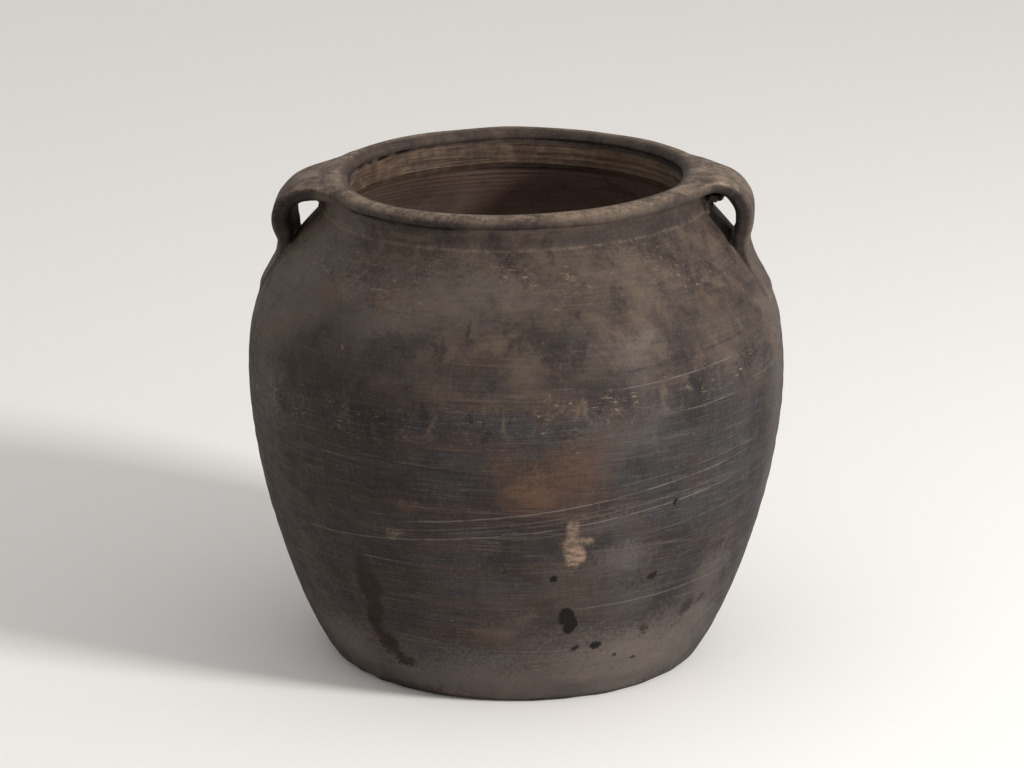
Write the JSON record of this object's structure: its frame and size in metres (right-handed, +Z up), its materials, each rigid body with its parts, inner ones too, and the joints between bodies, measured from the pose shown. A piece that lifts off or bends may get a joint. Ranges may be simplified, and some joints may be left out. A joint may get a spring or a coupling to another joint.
{
  "type": "clay storage jar",
  "caption": "Hand-thrown ovoid clay jar with a wide mouth, a rolled lip, a short neck, a full shoulder and strap handles from lip to shoulder, standing on a flat foot.",
  "frame": {"origin": "centre of the flat foot, on the surface that the jar stands on", "axes": "+Z up along the jar's axis, +X towards the right handle, -Y towards the front"},
  "size_m": [0.2828, 0.2828, 0.2611],
  "materials": {
    "smoked_clay": "unglazed, smoke-blackened blue-grey, dull with a faint burnish along the turning lines",
    "shoulder_clay": "unglazed, smoked brown-grey, matte",
    "rim_clay": "unglazed, smoked brown-grey, worn and matte",
    "luting_clay": "rough unglazed brown clay"
  },
  "bodies": {
    "root": {"base_disc": "smoked_clay", "lower_wall": "smoked_clay", "shoulder_wall": "shoulder_clay", "rim_collar": "rim_clay", "left_handle": "rim_clay", "right_handle": "rim_clay", "left_handle_luting": "luting_clay", "right_handle_luting": "luting_clay"}
  },
  "joints": []
}
